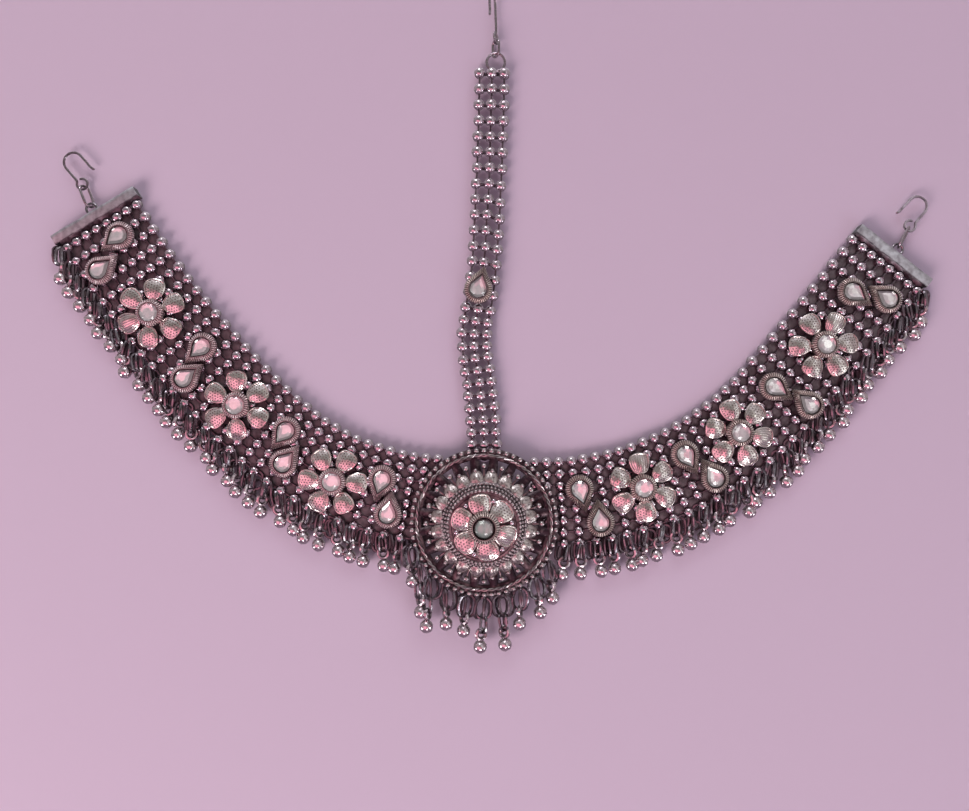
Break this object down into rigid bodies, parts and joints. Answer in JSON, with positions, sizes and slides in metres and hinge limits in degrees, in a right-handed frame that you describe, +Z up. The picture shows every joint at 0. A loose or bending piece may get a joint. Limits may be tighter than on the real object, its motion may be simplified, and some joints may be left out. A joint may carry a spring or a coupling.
{
  "type": "matha patti",
  "caption": "Oxidised silver head jewel: two ball-mesh bands with flowers, pear stones and a drop fringe meet at a domed pendant, with a strand up to a hook.",
  "frame": {"origin": "point inside the bow of the top hook that bears on what the jewel hangs from", "axes": "+Z up, +X to the right of a viewer in front, the front faces -Y"},
  "size_m": [0.2629, 0.0182, 0.1941],
  "materials": {
    "ball_mesh": "polished oxidised silver balls",
    "end_bar": "dull folded plate",
    "setting": "stamped and oxidised silver",
    "drops": "polished oxidised silver drops",
    "wire": "drawn oxidised wire",
    "stone": "foil-backed cut glass"
  },
  "bodies": {
    "root": {"band_left": "ball_mesh", "band_right": "ball_mesh", "strand": "ball_mesh", "end_bar_left": "end_bar", "end_bar_right": "end_bar", "pendant_frame": "setting", "pendant_flower": "setting", "flower_left_1": "setting", "flower_left_2": "setting", "flower_left_3": "setting", "flower_right_1": "setting", "flower_right_2": "setting", "flower_right_3": "setting", "pear_left_1": "setting", "pear_left_2": "setting", "pear_left_3": "setting", "pear_left_4": "setting", "pear_left_5": "setting", "pear_left_6": "setting", "pear_left_7": "setting", "pear_left_8": "setting", "pear_right_1": "setting", "pear_right_2": "setting", "pear_right_3": "setting", "pear_right_4": "setting", "pear_right_5": "setting", "pear_right_6": "setting", "pear_right_7": "setting", "pear_right_8": "setting", "pear_strand": "setting", "fringe_left": "drops", "fringe_right": "drops", "fringe_pendant": "drops", "link_left": "wire", "hook_left": "wire", "link_right": "wire", "hook_right": "wire", "link_top": "wire", "hook_top": "wire"}
  },
  "joints": []
}
